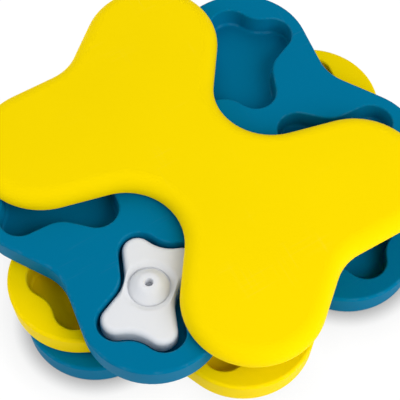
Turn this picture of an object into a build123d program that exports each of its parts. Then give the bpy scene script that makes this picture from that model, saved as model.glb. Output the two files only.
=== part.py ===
from build123d import *
import os
from dataclasses import dataclass
from math import acos, atan2, cos, hypot, sin

# Treat puzzle of stacked bone-shaped layers that turn on one upright post.
# Millimetres, +Z up. The origin is on the table, on the axis that all layers turn on.


@dataclass
class BoneShape:
    """Bone outline with its long axis along X: four round lobes, two waists and two end notches."""

    lobe_x: float  # lobe centre, along the bone
    lobe_y: float  # lobe centre, across the bone
    lobe_r: float
    waist_half: float  # half the width at the middle
    waist_sweep: float  # 1 is a waist arc that touches both of its lobes, less is a tighter arc
    end_half: float  # half the length at the end notches
    notch_sweep: float  # the same for the notch arc

    def hollow_r(self, reach, spread, sweep):
        """Radius of the arc between two lobes that stand spread to each side of its axis."""
        return sweep * (reach**2 + spread**2 - self.lobe_r**2) / (2 * (self.lobe_r - reach))

    @property
    def waist_r(self):
        return self.hollow_r(self.waist_half - self.lobe_y, self.lobe_x, self.waist_sweep)

    @property
    def notch_r(self):
        return self.hollow_r(self.end_half - self.lobe_x, self.lobe_y, self.notch_sweep)


# ---- outlines ----
layer_shape = BoneShape(
    lobe_x=87.5, lobe_y=55.0, lobe_r=46.0, waist_half=37.8, waist_sweep=0.832, end_half=118.3, notch_sweep=0.524
)
pocket_shape = BoneShape(
    lobe_x=25.0, lobe_y=14.9, lobe_r=15.6, waist_half=23.2, waist_sweep=0.6, end_half=37.3, notch_sweep=0.889
)

# ---- how the layers stand, turned about Z from the X axis (degrees) ----
layer_turns = {"base_tier": 16.4, "middle_tier": 73.3, "upper_tier": 41.5, "top_cover": -38.8}

# ---- tier moulding ----
wall = 2.4  # top plate and skirt
tier_overhang = 1.15  # a tier's top edge stands this far outside the cover's outline
skirt_draft = 3.4  # degrees, narrower towards the bottom
top_edge_r = 2.2
bottom_edge_r = 0.6
pocket_in_x = 5.5  # pocket centre from its lobe's centre, towards the middle, along the tier
pocket_in_y = 7.4  # the same, across the tier
pocket_turn = 34.4  # pocket's long axis from the tier's long axis (degrees)
pocket_depth = 15.0
pocket_wall = 2.2
pocket_draft = 3.0  # degrees, narrower towards the floor
mouth_r = 1.5
floor_r = 2.2
skirt_below_pocket = 2.05
rib_wall = 1.8
rib_lift = 4.0  # ribs end this far above the skirt's bottom edge

# ---- cover moulding ----
cover_height = 12.25
cover_edge_r = 10.4
cover_rib_height = 5.0

# ---- post and hubs ----
post_r = 13.0
post_bore_r = 10.0
running_gap = 0.1  # radial, between the post and the hubs it passes
hub_wall = 2.6
glide_r = 22.0  # outside of the glide washers and of the hub faces they run on
glide_wall = 2.4
glide_thickness = 1.0
collar_height = 1.0  # hub face above a tier's top
hub_drop = 1.0  # hub face below a skirt's bottom edge
flange_r = 21.0
flange_thickness = 2.5
flange_lift = 1.0  # flange's underside above the base tier's bottom edge
flange_play = 0.2  # axial, between the flange and the base tier's hub
web_thickness = 3.5
key_width = 3.0
key_height = 2.5
key_reach = 3.0  # inwards from the post's outside
key_gap = 0.15

# ---- screw, washer and cap ----
screw_r = 2.0
screw_hole_r = 2.3
screw_bite = 8.0  # length held in the cover's boss
screw_tip_gap = 0.5
boss_wall = 3.0
head_r = 4.0
head_height = 3.0
head_edge_r = 1.2
recess_across_flats = 2.6
recess_depth = 1.6
washer_r = 6.5
washer_thickness = 1.0
cap_rim = 2.0
cap_thickness = 1.2
cap_plug_height = 4.0
cap_plug_wall = 1.6
cap_plug_gap = 0.05

# ---- feet ----
skirt_above_table = 1.5
foot_r = 8.0
foot_edge_r = 0.6
foot_ring_gap = 0.2
foot_ring_wall = 1.4
foot_ring_height = 1.4

# ---- white insert ----
insert_inset = 5.8  # insert's outline inside the pocket's rim
insert_below_rim = 1.8
insert_wall = 2.2
insert_draft = 1.0  # degrees, wider towards the foot
insert_edge_r = 3.8
insert_foot_chamfer = 1.8
insert_shift_along = 1.8  # where the loose insert lies from its pocket's centre, along the pocket
insert_shift_across = 2.2
knob_along = 2.3  # knob and dish from the insert's middle, along the insert
knob_across = 0.8
dish_r = 14.1
dish_depth = 3.4
dish_lip = 5.2  # width of the soft slope outside the dish's wall
dish_lip_drop = 2.2  # the dish's wall starts this far below the insert's top
knob_foot_r = 13.4
knob_shoulder_r = 9.4
knob_shoulder_drop = 3.0  # shoulder below the knob's tip
knob_tip_r = 4.4
knob_above_insert = 4.3
knob_hole_r = 2.8
knob_hole_foot_r = 2.4
knob_hole_depth = 6.5
knob_hole_edge_r = 0.7

# ---- levels worked out from the sizes above ----
tier_height = pocket_depth + pocket_wall + skirt_below_pocket
layer_pitch = tier_height + collar_height + glide_thickness + hub_drop
hub_bore_r = post_r + running_gap


def skirt_level(layer):
    """Height of a layer's bottom edge, as the layers are stacked upwards in their order above."""
    return skirt_above_table + list(layer_turns).index(layer) * layer_pitch


cover_top = skirt_level("top_cover") + cover_height
cover_ceiling = cover_top - wall
web_top = cover_ceiling - screw_bite
web_bottom = web_top - web_thickness
flange_bottom = skirt_level("base_tier") + flange_lift
flange_top = flange_bottom + flange_thickness
base_underside = skirt_level("base_tier") + skirt_below_pocket


# ---- outline and solid helpers ----
def tangent_points(lobe, lobe_r, hollow, hollow_r, side):
    """Ends of the straight that joins a lobe's arc to the hollow arc on one side of it."""
    dx, dy = hollow[0] - lobe[0], hollow[1] - lobe[1]
    turn = atan2(dy, dx) + side * acos((lobe_r + hollow_r) / hypot(dx, dy))
    on_lobe = (lobe[0] + lobe_r * cos(turn), lobe[1] + lobe_r * sin(turn))
    on_hollow = (hollow[0] - hollow_r * cos(turn), hollow[1] - hollow_r * sin(turn))
    return on_lobe, on_hollow


def bone_face(shape, grow=0.0):
    """The outline as a flat face at Z 0, moved outwards all round by grow."""
    lobe = (shape.lobe_x, shape.lobe_y)
    waist = (0.0, shape.waist_half + shape.waist_r)
    notch = (shape.end_half + shape.notch_r, 0.0)
    r = shape.lobe_r + grow
    lobe_by_waist, waist_end = tangent_points(lobe, r, waist, shape.waist_r - grow, -1)
    lobe_by_notch, notch_end = tangent_points(lobe, r, notch, shape.notch_r - grow, 1)
    out = atan2(lobe[1], lobe[0])
    lobe_tip = (lobe[0] + r * cos(out), lobe[1] + r * sin(out))

    edges = []
    corner = (notch_end, lobe_by_notch, lobe_tip, lobe_by_waist, waist_end)
    for sx, sy in ((1, 1), (-1, 1), (-1, -1), (1, -1)):
        a, b, tip, c, d = [(sx * x, sy * y) for x, y in corner]
        edges += [Line(a, b), ThreePointArc(b, tip, c), Line(c, d)]
    for s in (1, -1):
        x, y = notch_end
        edges.append(ThreePointArc((s * x, -y), (s * (shape.end_half + grow), 0), (s * x, y)))
        x, y = waist_end
        edges.append(ThreePointArc((-x, s * y), (0, s * (shape.waist_half + grow)), (x, s * y)))
    return make_face(edges)


def prism(face, bottom, top, draft=0.0):
    """Upright solid on a face at the top level; a draft makes it narrower towards the bottom."""
    return extrude(Pos(0, 0, top) * face, amount=top - bottom, dir=(0, 0, -1), taper=draft)


def disc(radius, bottom, top):
    """Upright round solid on the turning axis."""
    return Pos(0, 0, (bottom + top) / 2) * Cylinder(radius, top - bottom)


def tube(outer_r, inner_r, bottom, top):
    """Upright ring-shaped wall on the turning axis."""
    return disc(outer_r, bottom, top) - disc(inner_r, bottom, top)


def edges_at(solid, level):
    """The edges of a solid that lie flat at one height."""
    return solid.edges().filter_by(lambda e: all(abs(e.position_at(t).Z - level) < 1e-4 for t in (0, 0.5, 1)))


def pocket_places():
    """The four pockets of a tier: one in each lobe, mirrored across both of its axes."""
    x = layer_shape.lobe_x - pocket_in_x
    y = layer_shape.lobe_y - pocket_in_y
    return [
        Pos(sx * x, sy * y, 0) * Rot(0, 0, sx * sy * pocket_turn)
        for sx in (-1, 1)
        for sy in (-1, 1)
    ]


def cross_ribs(inner_r, bottom, top):
    """Four upright ribs along the bone's axes, from a hub wall out to the skirt."""
    height = top - bottom
    cross = Box(2 * layer_shape.end_half, rib_wall, height)
    cross += Box(rib_wall, 2 * layer_shape.waist_half, height)
    return Pos(0, 0, (bottom + top) / 2) * cross - disc(inner_r, bottom, top)


# ---- tiers ----
def pocket_hollow(top):
    """The space inside one pocket, with a round edge to its floor."""
    hollow = prism(bone_face(pocket_shape, -mouth_r), top - pocket_depth, top, pocket_draft)
    return fillet(edges_at(hollow, top - pocket_depth), floor_r)


def pocket_bowl(top):
    """The outside of one pocket's wall, as it hangs under the tier's top plate."""
    depth = pocket_depth + pocket_wall
    bowl = prism(bone_face(pocket_shape, pocket_wall - mouth_r), top - depth, top, pocket_draft)
    return fillet(edges_at(bowl, top - depth), floor_r + pocket_wall)


def tier(level, hub_bottom):
    """One moulded tier, unturned: a skirted shell with four pockets, and hub walls and ribs below."""
    top = level + tier_height
    slab = prism(bone_face(layer_shape, tier_overhang), level, top, skirt_draft)
    slab = fillet(edges_at(slab, level), bottom_edge_r)
    for place in pocket_places():
        slab -= place * pocket_hollow(top)
    plate = slab.faces().sort_by(Axis.Z)[-1]
    mouths = [edge for wire in plate.inner_wires() for edge in wire.edges()]
    slab = fillet(mouths, mouth_r)
    plate = slab.faces().sort_by(Axis.Z)[-1]
    slab = fillet(plate.outer_wire().edges(), top_edge_r)

    core = prism(bone_face(layer_shape, tier_overhang - wall), level - wall, top - wall, skirt_draft)
    for place in pocket_places():
        core -= place * pocket_bowl(top)
    core -= cross_ribs(hub_bore_r, level + rib_lift, top)
    slab -= core

    outer_hub = tube(glide_r, glide_r - glide_wall, hub_bottom, top)
    inner_hub = tube(hub_bore_r + hub_wall, hub_bore_r, hub_bottom, top)
    collar = tube(glide_r, hub_bore_r, top - wall, top + collar_height)
    return slab + outer_hub + inner_hub + collar - disc(hub_bore_r, level - wall, top + wall)


def base_tier():
    """The lowest tier, with a ring for each rubber foot under its pockets."""
    body = tier(skirt_level("base_tier"), flange_top + flange_play)
    ring_r = foot_r + foot_ring_gap
    top = base_underside + pocket_wall / 2
    ring = tube(ring_r + foot_ring_wall, ring_r, base_underside - foot_ring_height, top)
    for place in pocket_places():
        body += place * ring
    return body


def carried_tier(layer):
    """A tier that turns on the glide washer of the tier under it."""
    level = skirt_level(layer)
    return tier(level, level - hub_drop)


# ---- cover ----
def top_cover():
    """The plain shell on top, with the socket, keys and screw boss that hold the post."""
    level = skirt_level("top_cover")
    hub_bottom = level - hub_drop
    shell = prism(bone_face(layer_shape), level, cover_top)
    shell = fillet(edges_at(shell, cover_top), cover_edge_r)
    shell = fillet(edges_at(shell, level), bottom_edge_r)
    inside = prism(bone_face(layer_shape, -wall), level, cover_ceiling)
    inside = fillet(edges_at(inside, cover_ceiling), cover_edge_r - wall)
    inside -= cross_ribs(hub_bore_r, cover_ceiling - cover_rib_height, cover_top)
    shell -= inside

    shell += tube(glide_r, glide_r - glide_wall, hub_bottom, cover_ceiling + wall / 2)
    shell += tube(hub_bore_r + hub_wall, hub_bore_r, hub_bottom, cover_ceiling + wall / 2)
    shell += tube(screw_r + boss_wall, screw_r, web_top, cover_ceiling)
    for side in (1, -1):
        key = Box(key_reach + running_gap, key_width, cover_ceiling - web_top + key_height)
        x = side * (hub_bore_r - (key_reach + running_gap) / 2)
        shell += Pos(x, 0, (cover_ceiling + web_top - key_height) / 2) * key
    return shell


# ---- post and its fastening ----
def center_post():
    """Flanged tube, closed at its upper end by a web that the screw pulls against the cover's boss."""
    post = disc(post_r, flange_bottom, web_top) + disc(flange_r, flange_bottom, flange_top)
    post -= disc(post_bore_r, flange_bottom, web_bottom)
    post -= disc(screw_hole_r, web_bottom, web_top)
    for side in (1, -1):
        depth = key_height + key_gap
        notch = Box(2 * (key_reach + key_gap), key_width + 2 * key_gap, 2 * depth)
        post -= Pos(side * post_r, 0, web_top) * notch
    return post


def post_screw():
    """Pan-head screw with a hexagon socket, driven upwards into the cover's boss."""
    seat = web_bottom - washer_thickness
    head = disc(head_r, seat - head_height, seat)
    head = fillet(edges_at(head, seat - head_height), head_edge_r)
    socket = RegularPolygon(recess_across_flats / 2, 6, major_radius=False)
    head -= extrude(Pos(0, 0, seat - head_height) * socket, amount=recess_depth)
    return head + disc(screw_r, seat, cover_ceiling - screw_tip_gap)


def screw_washer():
    """Flat steel washer between the screw's head and the post's web."""
    return tube(washer_r, screw_hole_r, web_bottom - washer_thickness, web_bottom)


def glide_washer(layer):
    """Slippery ring on a tier's hub collar, under the hub of the next layer."""
    seat = skirt_level(layer) + tier_height + collar_height
    return tube(glide_r, hub_bore_r, seat, seat + glide_thickness)


def hub_cap():
    """Plug that closes the post's lower end, pushed in from below."""
    plug_r = post_bore_r - cap_plug_gap
    cap = disc(post_bore_r + cap_rim, flange_bottom - cap_thickness, flange_bottom)
    return cap + tube(plug_r, plug_r - cap_plug_wall, flange_bottom, flange_bottom + cap_plug_height)


def foot_pads():
    """Rubber pads stuck under the base tier's pockets."""
    pad = disc(foot_r, 0, base_underside)
    pad = fillet(edges_at(pad, 0), foot_edge_r)
    return Compound(children=[place * pad for place in pocket_places()])


# ---- white insert ----
def knob_slope(top, inset):
    """Section line of the knob's side, from the dish's floor up to its tip, moved inwards by inset."""
    tip = top + knob_above_insert - inset
    foot = (knob_foot_r - inset, top - dish_depth - inset)
    shoulder = (knob_shoulder_r - inset / 2, tip - knob_shoulder_drop)
    return Spline(foot, shoulder, (knob_tip_r, tip), tangents=((-1, 2), (-1, 0)))


def dish_space(top):
    """The ring-shaped hollow round the knob, with a wide soft lip, open upwards."""
    slope = knob_slope(top, 0)
    foot, tip = slope @ 0, slope @ 1
    lip_r = dish_r + dish_lip
    above = tip.Y + dish_lip
    rim = (dish_r, top - dish_lip_drop)
    middle_r = dish_r + dish_lip / 2
    edges = [
        slope,
        Line(tip, (tip.X, above)),
        Line((tip.X, above), (lip_r, above)),
        Line((lip_r, above), (lip_r, top)),
        Bezier((lip_r, top), (middle_r, top), (middle_r, top - dish_lip_drop / 2), rim),
        Line(rim, (dish_r, foot.Y)),
        Line((dish_r, foot.Y), foot),
    ]
    return revolve(Plane.XZ * make_face(edges), Axis.Z)


def knob_hollow(top):
    """The space inside the knob round its blind hole, one wall thickness in from the knob's side."""
    slope = knob_slope(top, insert_wall)
    foot, tip = slope @ 0, slope @ 1
    root = foot.Y - insert_wall
    edges = [
        slope,
        Line(tip, (0, tip.Y)),
        Line((0, tip.Y), (0, root)),
        Line((0, root), (foot.X, root)),
        Line((foot.X, root), foot),
    ]
    hole_floor = top + knob_above_insert - knob_hole_depth
    return revolve(Plane.XZ * make_face(edges), Axis.Z) - disc(
        knob_hole_r + insert_wall, hole_floor - insert_wall, tip.Y + insert_wall
    )


def knob_hole(top):
    """Blind tapered hole in the knob's tip, with a round edge to its mouth."""
    tip = top + knob_above_insert
    floor = tip - knob_hole_depth
    mouth_r = knob_hole_r + knob_hole_edge_r
    above = tip + knob_hole_edge_r
    shoulder = (knob_hole_r, tip - knob_hole_edge_r)
    edges = [
        Line((0, floor), (knob_hole_foot_r, floor)),
        Line((knob_hole_foot_r, floor), shoulder),
        RadiusArc(shoulder, (mouth_r, tip), knob_hole_edge_r),
        Line((mouth_r, tip), (mouth_r, above)),
        Line((mouth_r, above), (0, above)),
        Line((0, above), (0, floor)),
    ]
    return revolve(Plane.XZ * make_face(edges), Axis.Z)


def bone_insert():
    """Loose white cover for one pocket: an open-bottomed bone shell with a knob to lift it by."""
    rim = skirt_level("upper_tier") + tier_height
    floor = rim - pocket_depth
    top = rim - insert_below_rim
    ceiling = top - insert_wall
    body = prism(bone_face(pocket_shape, -insert_inset), floor, top, -insert_draft)
    body = fillet(edges_at(body, top), insert_edge_r)
    body = chamfer(edges_at(body, floor), insert_foot_chamfer)
    inside = prism(bone_face(pocket_shape, -insert_inset - insert_wall), floor, ceiling, -insert_draft)
    inside = chamfer(edges_at(inside, ceiling), insert_edge_r - insert_wall)

    middle = Pos(knob_along, knob_across, 0)
    inside -= middle * disc(dish_r + insert_wall, top - dish_depth - insert_wall, top)
    body += middle * disc(knob_foot_r, ceiling, top + knob_above_insert)
    body -= middle * dish_space(top)
    body -= inside
    body -= middle * knob_hollow(top)
    return body - middle * knob_hole(top)


# ---- the whole toy ----
def turned(name, solid):
    """A layer's piece at the angle that its layer stands at."""
    return Rot(0, 0, layer_turns[name]) * solid


insert_place = pocket_places()[0] * Pos(insert_shift_along, insert_shift_across, 0)

pieces = {
    "base_tier": turned("base_tier", base_tier()),
    "middle_tier": turned("middle_tier", carried_tier("middle_tier")),
    "upper_tier": turned("upper_tier", carried_tier("upper_tier")),
    "top_cover": turned("top_cover", top_cover()),
    "center_post": turned("top_cover", center_post()),
    "post_screw": turned("top_cover", post_screw()),
    "screw_washer": screw_washer(),
    "glide_washer_lower": glide_washer("base_tier"),
    "glide_washer_middle": glide_washer("middle_tier"),
    "glide_washer_upper": glide_washer("upper_tier"),
    "hub_cap": hub_cap(),
    "foot_pads": turned("base_tier", foot_pads()),
    "bone_insert": turned("upper_tier", insert_place * bone_insert()),
}

os.makedirs("parts", exist_ok=True)
for name, solid in pieces.items():
    export_step(solid, f"parts/{name}.step")
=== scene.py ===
from math import cos, pi, radians, sin

import bmesh
import bpy
from mathutils import Matrix, Vector


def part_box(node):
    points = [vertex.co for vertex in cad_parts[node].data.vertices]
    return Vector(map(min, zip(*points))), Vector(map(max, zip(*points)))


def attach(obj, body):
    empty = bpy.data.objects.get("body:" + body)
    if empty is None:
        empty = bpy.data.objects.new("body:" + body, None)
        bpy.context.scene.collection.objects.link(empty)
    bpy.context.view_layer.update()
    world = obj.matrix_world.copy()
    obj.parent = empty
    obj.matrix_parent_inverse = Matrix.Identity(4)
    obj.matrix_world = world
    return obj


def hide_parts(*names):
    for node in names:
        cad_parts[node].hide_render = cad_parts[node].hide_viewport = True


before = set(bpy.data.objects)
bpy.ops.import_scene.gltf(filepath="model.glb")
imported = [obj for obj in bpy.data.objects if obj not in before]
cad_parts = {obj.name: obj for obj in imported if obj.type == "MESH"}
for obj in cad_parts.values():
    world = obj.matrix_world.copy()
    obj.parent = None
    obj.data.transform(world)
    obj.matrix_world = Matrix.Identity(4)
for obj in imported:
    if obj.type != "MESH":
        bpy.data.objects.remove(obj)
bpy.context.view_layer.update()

# ---- Base tier ----
# The lowest layer: a bone-shaped blue shell with four treat pockets, injection-moulded in one
# piece. It is polypropylene from a spark-eroded mould, so its skin is satin with an even fine
# grain, and its underside carries the flat round marks of the ejector pins.


class Signal:
    """A shader socket that can stand in a sum; each operator adds the Math node that does it."""

    def __init__(self, finish, socket):
        self.finish = finish
        self.socket = socket

    def math(self, operation, first, second):
        return self.finish.node("ShaderNodeMath", {"operation": operation}, {0: first, 1: second})

    def __add__(self, other):
        return self.math("ADD", self, other)

    def __radd__(self, other):
        return self.math("ADD", other, self)

    def __sub__(self, other):
        return self.math("SUBTRACT", self, other)

    def __mul__(self, other):
        return self.math("MULTIPLY", self, other)

    def __rmul__(self, other):
        return self.math("MULTIPLY", other, self)

    def __abs__(self):
        return self.math("ABSOLUTE", self, 0.0)


class Finish:
    """A material or sky being mixed; node() is the one way in which its nodes are added."""

    def __init__(self, name, library=bpy.data.materials):
        self.owner = library.new(name)
        self.owner.use_nodes = True
        self.tree = self.owner.node_tree
        self.tree.nodes.clear()
        self.place = self.node("ShaderNodeTexCoord", {}, {}, "Object")

    def node(self, kind, settings, sockets, output=0):
        """Adds a node with its settings and its sockets' values or links, and gives an output."""
        made = self.tree.nodes.new(kind)
        for key, value in settings.items():
            setattr(made, key, value)
        for key, value in sockets.items():
            if isinstance(value, Signal):
                self.tree.links.new(value.socket, made.inputs[key])
            else:
                made.inputs[key].default_value = value
        return Signal(self, made.outputs[output]) if len(made.outputs) else None

    def mix(self, factor, first, second):
        """A colour between two colours."""
        sockets = {0: factor, 6: first, 7: second}
        return self.node("ShaderNodeMix", {"data_type": "RGBA"}, sockets, 2)

    def noise(self, scale, detail, place=None):
        """Soft unevenness between 0 and 1; the scale is in waves per metre."""
        sockets = {"Vector": place or self.place, "Scale": scale, "Detail": detail}
        return self.node("ShaderNodeTexNoise", {}, sockets, "Fac")

    def step(self, value, low, high):
        """A soft step from 0 at low to 1 at high."""
        sockets = {"Value": value, "From Min": low, "From Max": high}
        return self.node("ShaderNodeMapRange", {"interpolation_type": "SMOOTHSTEP"}, sockets)

    def stretched(self, turn, size):
        """The place turned about Z and measured in lengths of size, to draw a noise into lines."""
        sockets = {"Vector": self.place, "Rotation": (0, 0, turn), "Scale": size}
        return self.node("ShaderNodeMapping", {"vector_type": "TEXTURE"}, sockets)

    def upward(self):
        """How far the surface faces up: 1 on a top, 0 on a wall, -1 on an underside."""
        facing = self.node("ShaderNodeNewGeometry", {}, {}, "Normal")
        return self.node("ShaderNodeSeparateXYZ", {}, {0: facing}, "Z")

    def bump(self, height, depth, below=None):
        """A normal from a height between 0 and 1 that stands for a depth in metres."""
        sockets = {"Height": height, "Distance": depth}
        if below:
            sockets["Normal"] = below
        return self.node("ShaderNodeBump", {}, sockets)

    def close(self, sockets):
        """Ends the finish in the Principled shader."""
        shader = self.node("ShaderNodeBsdfPrincipled", {}, sockets)
        self.node("ShaderNodeOutputMaterial", {}, {"Surface": shader})
        return self.owner


def shade(color, gain):
    """A colour made lighter or darker."""
    return tuple(min(1.0, channel * gain) for channel in color) + (1.0,)


def moulded_plastic(name, color, gleam, roughness, rub):
    """Satin moulded plastic: flow tones, fine grain, rubbed edges, hairlines, ejector marks."""
    finish = Finish(name)
    facing = finish.upward()
    flow = finish.noise(scale=11.0, detail=2.0)
    speck = finish.noise(scale=420.0, detail=3.0)
    grain = finish.noise(scale=2400.0, detail=2.0)

    # Only rounded edges lean between a wall and a flat, so their lean finds them.
    leaning = finish.step(abs(facing), low=0.15, high=0.5)
    edge = leaning * finish.step(abs(facing), low=0.99, high=0.85)
    rubbed = edge * finish.step(finish.noise(scale=190.0, detail=4.0), low=0.45, high=0.7)

    # Hairlines from handling lie in patches, on the flats that face up.
    along_place = finish.stretched(turn=radians(31), size=(0.045, 0.0007, 0.045))
    along = finish.noise(scale=1.0, detail=1.0, place=along_place)
    across_place = finish.stretched(turn=radians(118), size=(0.06, 0.0008, 0.06))
    across = finish.noise(scale=1.0, detail=1.0, place=across_place)
    fine = finish.step(along, low=0.66, high=0.74) + finish.step(across, low=0.67, high=0.75)
    patches = finish.step(finish.noise(scale=26.0, detail=1.0), low=0.5, high=0.66)
    hairline = fine * patches * finish.step(facing, low=0.9, high=1.0)

    # The ejector pins stand in a square pattern and only show on the undersides.
    pin_pitch = 0.034
    pin_r = 0.003
    half = pin_pitch / 2
    square = {0: finish.place, 1: (half, half, half), 2: (-half, -half, -half)}
    cell = finish.node("ShaderNodeVectorMath", {"operation": "WRAP"}, square)
    level = finish.node("ShaderNodeVectorMath", {"operation": "MULTIPLY"}, {0: cell, 1: (1, 1, 0)})
    away = finish.node("ShaderNodeVectorMath", {"operation": "LENGTH"}, {0: level}, "Value")
    disc = finish.step(away, low=pin_r, high=0.92 * pin_r)
    pin = disc * finish.step(facing, low=-0.97, high=-0.99)

    tone = finish.mix(0.8 * flow + 0.2 * speck, shade(color, 0.96), shade(color, 1.04))
    pale = shade(tuple(0.35 + 0.65 * channel for channel in color), 1.0)
    skin = finish.bump(grain, depth=0.00003)
    pressed = finish.bump(pin, depth=0.00012, below=skin)
    return finish.close(
        {
            "Base Color": finish.mix(rub * rubbed + 0.02 * hairline, tone, pale),
            "Roughness": (
                roughness - 0.04 + 0.08 * flow - 2 * rub * rubbed + 0.15 * hairline - 0.08 * pin
            ),
            "Normal": pressed,
            "IOR": 1.49,
            "Specular IOR Level": 0.02,
            "Specular Tint": gleam,
        }
    )


def dress(node, material):
    """Gives a CAD node its finish."""
    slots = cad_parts[node].data.materials
    slots.clear()
    slots.append(material)


blue = (0.0004, 0.157, 0.302)
blue_gleam = (0.02, 0.6, 0.95, 1)
blue_plastic = moulded_plastic("blue_plastic", blue, blue_gleam, roughness=0.44, rub=0.04)
dress("base_tier", blue_plastic)


# ---- Foot pads ----
# Four soft rubber pads, pressed into the rings under the base tier's pockets and held by glue.
# Each has grip rings on its face, so that the toy stays put on a smooth floor.

rubber = Finish("rubber")
rubber_dust = rubber.step(rubber.noise(scale=700.0, detail=3.0), low=0.5, high=0.75)
rubber_skin = rubber.close(
    {
        "Base Color": rubber.mix(0.3 * rubber_dust, (0.028, 0.029, 0.032, 1), (0.1, 0.1, 0.1, 1)),
        "Roughness": 0.78 + 0.12 * rubber_dust,
        "Normal": rubber.bump(rubber.noise(scale=3200.0, detail=2.0), depth=0.00004),
        "Specular IOR Level": 0.3,
    }
)


def arc(middle, radius, start, end, steps=6):
    """Points of a round stretch of a section, between two directions in degrees."""
    turns = [radians(start + (end - start) * step / steps) for step in range(steps + 1)]
    return [(middle[0] + radius * cos(turn), middle[1] + radius * sin(turn)) for turn in turns]


def lathe(name, section, segments):
    """A closed turned piece about Z; its section's (radius, height) points run axis to axis."""
    on_axis = 1e-6
    crease = radians(35)
    made = bmesh.new()
    rings = []
    for radius, height in section:
        count = segments if radius > on_axis else 1
        turns = [2 * pi * step / segments for step in range(count)]
        spots = [(radius * cos(turn), radius * sin(turn), height) for turn in turns]
        rings.append([made.verts.new(spot) for spot in spots])
    for first, second in zip(rings, rings[1:]):
        for step in range(segments):
            corners = [first[step % len(first)], first[(step + 1) % len(first)]]
            corners += [second[(step + 1) % len(second)], second[step % len(second)]]
            made.faces.new(list(dict.fromkeys(corners)))
    bmesh.ops.recalc_face_normals(made, faces=made.faces)
    mesh = bpy.data.meshes.new(name)
    made.to_mesh(mesh)
    made.free()
    mesh.shade_smooth()
    mesh.set_sharp_from_angle(angle=crease)
    piece = bpy.data.objects.new(name, mesh)
    bpy.context.scene.collection.objects.link(piece)
    return piece


def island_middles(mesh):
    """The middle of each separate island of a mesh, brought down to the floor, in a fixed order."""
    same_place = 1e-6
    loose = bmesh.new()
    loose.from_mesh(mesh)
    # A CAD node's mesh is loose patches, so the corners that they share are joined first.
    bmesh.ops.remove_doubles(loose, verts=loose.verts, dist=same_place)
    waiting = set(loose.verts)
    middles = []
    while waiting:
        island = set()
        front = {waiting.pop()}
        while front:
            island |= front
            front = {edge.other_vert(vert) for vert in front for edge in vert.link_edges} - island
        waiting -= island
        xs = [vert.co.x for vert in island]
        ys = [vert.co.y for vert in island]
        middles.append(((min(xs) + max(xs)) / 2, (min(ys) + max(ys)) / 2, 0))
    loose.free()
    return sorted(middles)


class Growth:
    """A Geometry Nodes tree being built, with named inputs."""

    def __init__(self, name, inputs):
        self.tree = bpy.data.node_groups.new(name, "GeometryNodeTree")
        shape = "NodeSocketGeometry"
        for label, kind in {"Geometry": shape, **inputs}.items():
            self.tree.interface.new_socket(label, in_out="INPUT", socket_type=kind)
        self.tree.interface.new_socket("Geometry", in_out="OUTPUT", socket_type=shape)
        self.inputs = self.node("NodeGroupInput", {}, {}).outputs

    def node(self, kind, settings, sockets):
        """Adds a node with its settings and its sockets' values or links."""
        made = self.tree.nodes.new(kind)
        for key, value in settings.items():
            setattr(made, key, value)
        for key, value in sockets.items():
            if isinstance(value, bpy.types.NodeSocket):
                self.tree.links.new(value, made.inputs[key])
            else:
                made.inputs[key].default_value = value
        return made

    def close(self, geometry):
        """Ends the tree in plain geometry that carries the Skin input's material."""
        whole = self.node("GeometryNodeRealizeInstances", {}, {"Geometry": geometry})
        sockets = {"Geometry": whole.outputs[0], "Material": self.inputs["Skin"]}
        painted = self.node("GeometryNodeSetMaterial", {}, sockets)
        self.node("NodeGroupOutput", {}, {"Geometry": painted.outputs[0]})

    def grow(self, name, points, values):
        """Runs the tree on some points and gives the result as an object with a plain mesh."""
        seed = bpy.data.meshes.new(name)
        seed.from_pydata(points, [], [])
        piece = bpy.data.objects.new(name, seed)
        bpy.context.scene.collection.objects.link(piece)
        modifier = piece.modifiers.new(name, "NODES")
        modifier.node_group = self.tree
        for item in self.tree.interface.items_tree:
            if item.in_out == "INPUT" and item.name in values:
                modifier[item.identifier] = values[item.name]
        grown = piece.evaluated_get(bpy.context.evaluated_depsgraph_get())
        mesh = bpy.data.meshes.new_from_object(grown)
        piece.modifiers.clear()
        piece.data = mesh
        return piece


pads_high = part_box("foot_pads")[1]
pad_middles = island_middles(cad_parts["foot_pads"].data)
pad_r = pads_high.x - max(middle[0] for middle in pad_middles)
pad_height = pads_high.z
pad_edge = 0.0006
groove_half = 0.0004
grooves = 3

pad_section = [(0, pad_height), (pad_r, pad_height)]
pad_section += arc((pad_r - pad_edge, pad_edge), pad_edge, 0, -90)
for groove in range(grooves):
    groove_r = (pad_r - pad_edge) * (grooves - groove) / (grooves + 1)
    pad_section += arc((groove_r, 0), groove_half, 0, 180)
pad_section.append((0, 0))
pad_form = lathe("pad_form", pad_section, segments=48)

pads = Growth("set_pads", {"Pad": "NodeSocketObject", "Skin": "NodeSocketMaterial"})
pad_shape = pads.node("GeometryNodeObjectInfo", {}, {"Object": pads.inputs["Pad"]})
pad_sockets = {"Points": pads.inputs["Geometry"], "Instance": pad_shape.outputs["Geometry"]}
placed = pads.node("GeometryNodeInstanceOnPoints", {}, pad_sockets)
pads.close(placed.outputs[0])
grip_pads = pads.grow("grip_pads", pad_middles, {"Pad": pad_form, "Skin": rubber_skin})
bpy.data.objects.remove(pad_form)
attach(grip_pads, "base")
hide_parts("foot_pads")


# ---- Centre post ----
# A flanged grey tube, moulded in stiff acetal, that passes up through the hubs of all three tiers.
# Its flange carries the base tier's hub when the toy is lifted. Two notches key it to the cover.


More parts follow.
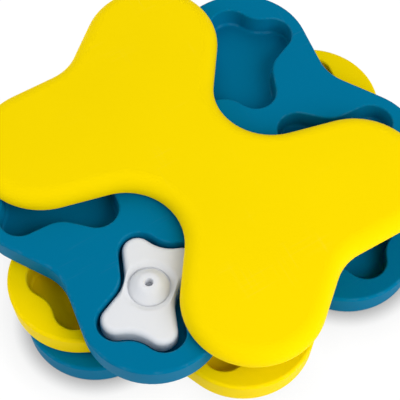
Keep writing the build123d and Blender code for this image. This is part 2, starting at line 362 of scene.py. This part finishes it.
def bearing_plastic(name, color, roughness):
    """Smooth, stiff plastic with faint rings from running against its neighbours."""
    finish = Finish(name)
    cloud = finish.noise(scale=60.0, detail=3.0)
    ring_place = finish.stretched(turn=0.0, size=(0.05, 0.05, 0.0004))
    rings = finish.noise(scale=1.0, detail=2.0, place=ring_place)
    return finish.close(
        {
            "Base Color": finish.mix(cloud, shade(color, 0.93), shade(color, 1.05)),
            "Roughness": roughness - 0.06 + 0.12 * cloud,
            "Normal": finish.bump(rings, depth=0.00001),
            "Specular IOR Level": 0.4,
        }
    )


grey_plastic = bearing_plastic("grey_plastic", color=(0.33, 0.34, 0.35), roughness=0.42)
dress("center_post", grey_plastic)


# ---- Glide washers ----
# Three thin rings of slippery natural acetal, one on each tier's hub collar.
# The next layer's hub runs on them, so that a nose can push a layer round.

natural_plastic = bearing_plastic("natural_plastic", color=(0.8, 0.79, 0.74), roughness=0.3)
for level in ("lower", "middle", "upper"):
    dress("glide_washer_" + level, natural_plastic)


# ---- Middle tier ----
# The same shell as the base tier in yellow, with a hub below that runs on the lower glide washer.

yellow = (0.91, 0.675, 0.0006)
yellow_gleam = (1.0, 0.82, 0.03, 1)
yellow_plastic = moulded_plastic("yellow_plastic", yellow, yellow_gleam, roughness=0.44, rub=0.04)
dress("middle_tier", yellow_plastic)


# ---- Upper tier ----
# The third shell, in the same blue as the base tier. One of its pockets holds the loose insert.

dress("upper_tier", blue_plastic)


# ---- Bone insert ----
# A loose white shell that hides a treat in one pocket. The dog lifts it out by the knob in its
# dish. It is moulded in the same satin plastic as the tiers, with a slightly smoother skin.

bone_white = (0.73, 0.745, 0.775)
plain_gleam = (1, 1, 1, 1)
white_plastic = moulded_plastic("white_plastic", bone_white, plain_gleam, roughness=0.4, rub=0.02)
dress("bone_insert", white_plastic)


# ---- Top cover ----
# A plain yellow shell with a broad rounded edge, keyed to the post, so that both turn together.

cover_plastic = moulded_plastic("cover_plastic", yellow, yellow_gleam, roughness=0.44, rub=0.0)
dress("top_cover", cover_plastic)


# ---- Screw and washer ----
# A zinc-plated pan-head screw with its washer, driven up through the post into the cover's boss.
# It forms its own thread in the plastic, so the thread stands a little proud of the shank.

zinc = Finish("zinc_plate")
zinc_cloud = zinc.noise(scale=240.0, detail=4.0)
turning_place = zinc.stretched(turn=0.0, size=(0.004, 0.004, 0.0001))
zinc_turning = zinc.noise(scale=1.0, detail=2.0, place=turning_place)
zinc_plate = zinc.close(
    {
        "Base Color": zinc.mix(zinc_cloud, (0.50, 0.51, 0.53, 1), (0.66, 0.66, 0.65, 1)),
        "Metallic": 1.0,
        "Roughness": 0.26 + 0.16 * zinc_cloud,
        "Normal": zinc.bump(zinc_turning, depth=0.00001),
    }
)
dress("post_screw", zinc_plate)
dress("screw_washer", zinc_plate)

thread_pitch = 0.0016
thread_ridge = 0.0003
thread_r = 0.002
plain_shank = 0.004
plain_tip = 0.001
thread_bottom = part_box("screw_washer")[1].z + plain_shank
thread_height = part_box("post_screw")[1].z - plain_tip - thread_bottom

thread = Growth(
    "wind_thread",
    {
        "Radius": "NodeSocketFloat",
        "Height": "NodeSocketFloat",
        "Pitch": "NodeSocketFloat",
        "Ridge": "NodeSocketFloat",
        "Skin": "NodeSocketMaterial",
    },
)
turns = thread.node(
    "ShaderNodeMath",
    {"operation": "DIVIDE"},
    {0: thread.inputs["Height"], 1: thread.inputs["Pitch"]},
)
helix = thread.node(
    "GeometryNodeCurveSpiral",
    {},
    {
        "Resolution": 24,
        "Rotations": turns.outputs[0],
        "Start Radius": thread.inputs["Radius"],
        "End Radius": thread.inputs["Radius"],
        "Height": thread.inputs["Height"],
    },
)
ridge = thread.node(
    "GeometryNodeCurvePrimitiveCircle",
    {"mode": "RADIUS"},
    {"Resolution": 4, "Radius": thread.inputs["Ridge"]},
)
wound = thread.node(
    "GeometryNodeCurveToMesh",
    {},
    {"Curve": helix.outputs[0], "Profile Curve": ridge.outputs[0], "Fill Caps": True},
)
thread.close(wound.outputs[0])
screw_thread = thread.grow(
    "screw_thread",
    [],
    {
        "Radius": thread_r,
        "Height": thread_height,
        "Pitch": thread_pitch,
        "Ridge": thread_ridge,
        "Skin": zinc_plate,
    },
)
screw_thread.data.transform(Matrix.Translation((0, 0, thread_bottom)))
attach(screw_thread, "cover")


# ---- Hub cap ----
# A grey plug that snaps into the post's open foot and keeps crumbs and fingers out of it.
# Its face has a shallow dish round the small pip that the moulding gate leaves.

cap_low, cap_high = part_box("hub_cap")
cap_r = cap_high.x
cap_edge = 0.0005
cap_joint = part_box("center_post")[0].z
plug_step = 0.00205
plug_r = cap_r - plug_step
plug_wall = 0.0016
plug_edge = 0.0004
dish_rim = 0.0022
dish_depth = 0.0004
pip_r = 0.0008
pip_flatness = 3

dish_top = cap_low.z + dish_depth
cap_section = arc((0, dish_top), pip_r, -90, 0, steps=4)
cap_section = [(r, dish_top + (z - dish_top) / pip_flatness) for r, z in cap_section]
cap_section += [(cap_r - dish_rim - dish_depth, dish_top), (cap_r - dish_rim, cap_low.z)]
cap_section += arc((cap_r - cap_edge, cap_low.z + cap_edge), cap_edge, -90, 0)
cap_section += [(cap_r, cap_joint), (plug_r, cap_joint)]
cap_section += arc((plug_r - plug_edge, cap_high.z - plug_edge), plug_edge, 0, 90, steps=4)
cap_section += [(plug_r - plug_wall, cap_high.z), (plug_r - plug_wall, cap_joint), (0, cap_joint)]
snap_cap = lathe("snap_cap", cap_section, segments=72)
snap_cap.data.materials.append(grey_plastic)
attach(snap_cap, "cover")
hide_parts("hub_cap")


# ---- Studio ----
# A white floor under a big soft lamp at the front right, weaker ones at the left and the back, and
# a weak even sky. The camera looks down on the toy from the front, from just under a metre away.

camera_target = Vector((0.00025, 0.0141, 0.0))
camera_distance = 0.9474
camera_elevation = radians(59.47)
sensor_width = 36.0
focal_pixels = 1340.8
picture_pixels = 400

camera = bpy.data.objects.new("camera", bpy.data.cameras.new("camera"))
bpy.context.scene.collection.objects.link(camera)
camera.data.sensor_width = sensor_width
camera.data.lens = sensor_width * focal_pixels / picture_pixels
camera_side = Vector((0, -cos(camera_elevation), sin(camera_elevation)))
camera.location = camera_target + camera_distance * camera_side
camera.rotation_euler = (pi / 2 - camera_elevation, 0, 0)
bpy.context.scene.camera = camera
bpy.context.scene.view_settings.view_transform = "Standard"


def soft_lamp(name, place, size, power, mirrored):
    """A square area lamp that points at the toy; mirrored says if gloss reflects it."""
    lamp = bpy.data.lights.new(name, "AREA")
    lamp.shape = "SQUARE"
    lamp.size = size
    lamp.energy = power
    holder = bpy.data.objects.new(name, lamp)
    bpy.context.scene.collection.objects.link(holder)
    holder.location = place
    holder.rotation_euler = (-Vector(place)).to_track_quat("-Z", "Y").to_euler()
    holder.visible_glossy = mirrored


soft_lamp("main_lamp", (0.78, -0.78, 0.87), size=1.0, power=16.0, mirrored=True)
soft_lamp("left_lamp", (-1.35, 0.0, 0.5), size=0.9, power=9.0, mirrored=False)
soft_lamp("back_lamp", (0.0, 1.0, 1.0), size=0.9, power=4.5, mirrored=False)


def seen_white(finish):
    """1 for what the camera sees, straight or in a gleam, and 0 for what lights the toy."""
    rays = finish.node("ShaderNodeLightPath", {}, {}, "Is Camera Ray")
    gleams = finish.node("ShaderNodeLightPath", {}, {}, "Is Glossy Ray")
    passing = finish.node("ShaderNodeLightPath", {}, {}, "Is Transmission Ray")
    return rays + gleams + passing


sky_strength = 0.35

sky = Finish("sky", bpy.data.worlds)
glow = sky.node("ShaderNodeBackground", {}, {"Color": (1, 1, 1, 1), "Strength": sky_strength})
white = sky.node("ShaderNodeBackground", {}, {"Color": (1, 1, 1, 1), "Strength": 1.0})
dome = sky.node("ShaderNodeMixShader", {}, {0: seen_white(sky), 1: glow, 2: white})
sky.node("ShaderNodeOutputWorld", {}, {"Surface": dome})
bpy.context.scene.world = sky.owner

floor_half = 3.0
floor_gap = 0.0001
floor_corners = [
    (-floor_half, -floor_half, -floor_gap),
    (floor_half, -floor_half, -floor_gap),
    (floor_half, floor_half, -floor_gap),
    (-floor_half, floor_half, -floor_gap),
]
floor = bpy.data.objects.new("floor", bpy.data.meshes.new("floor"))
floor.data.from_pydata(floor_corners, [], [(0, 1, 2, 3)])
bpy.context.scene.collection.objects.link(floor)

# The camera sees the paper as white, with a painted soft contact shadow: ambient occlusion darkens
# the paper's glow beside and under the toy. From below, the camera sees through it.
paper_tone = (0.86, 0.86, 0.86, 1)
paper_glow = 1.05
glow_share = 0.92
beside_reach = 0.012
under_reach = 0.035
under_share = 0.4

paper = Finish("white_paper")
seen = paper.node("ShaderNodeLightPath", {}, {}, "Is Camera Ray")
below = paper.node("ShaderNodeNewGeometry", {}, {}, "Backfacing")
fine = {"samples": 16}
# Painted shade: how much of the paper's surroundings the toy hides, close by and a little further
# off.
painted_shade_beside = paper.node("ShaderNodeAmbientOcclusion", fine, {"Distance": beside_reach}, "AO")
painted_shade_under = paper.node("ShaderNodeAmbientOcclusion", fine, {"Distance": under_reach}, "AO")
# Painted shadow: the paper's glow is darkened near the toy by ambient occlusion, not by the lamps.
painted_contact_shadow = painted_shade_beside * (1 - under_share + under_share * painted_shade_under)
sheet = paper.node("ShaderNodeBsdfDiffuse", {}, {"Color": paper_tone})
glow_with_painted_shadow = paper.node("ShaderNodeEmission", {}, {"Color": painted_contact_shadow, "Strength": paper_glow})
paper_parts = {0: glow_share * seen_white(paper), 1: sheet, 2: glow_with_painted_shadow}
top_side = paper.node("ShaderNodeMixShader", {}, paper_parts)
window = paper.node("ShaderNodeBsdfTransparent", {}, {})
whole_sheet = paper.node("ShaderNodeMixShader", {}, {0: below * seen, 1: top_side, 2: window})
paper.node("ShaderNodeOutputMaterial", {}, {"Surface": whole_sheet})
floor.data.materials.append(paper.owner)
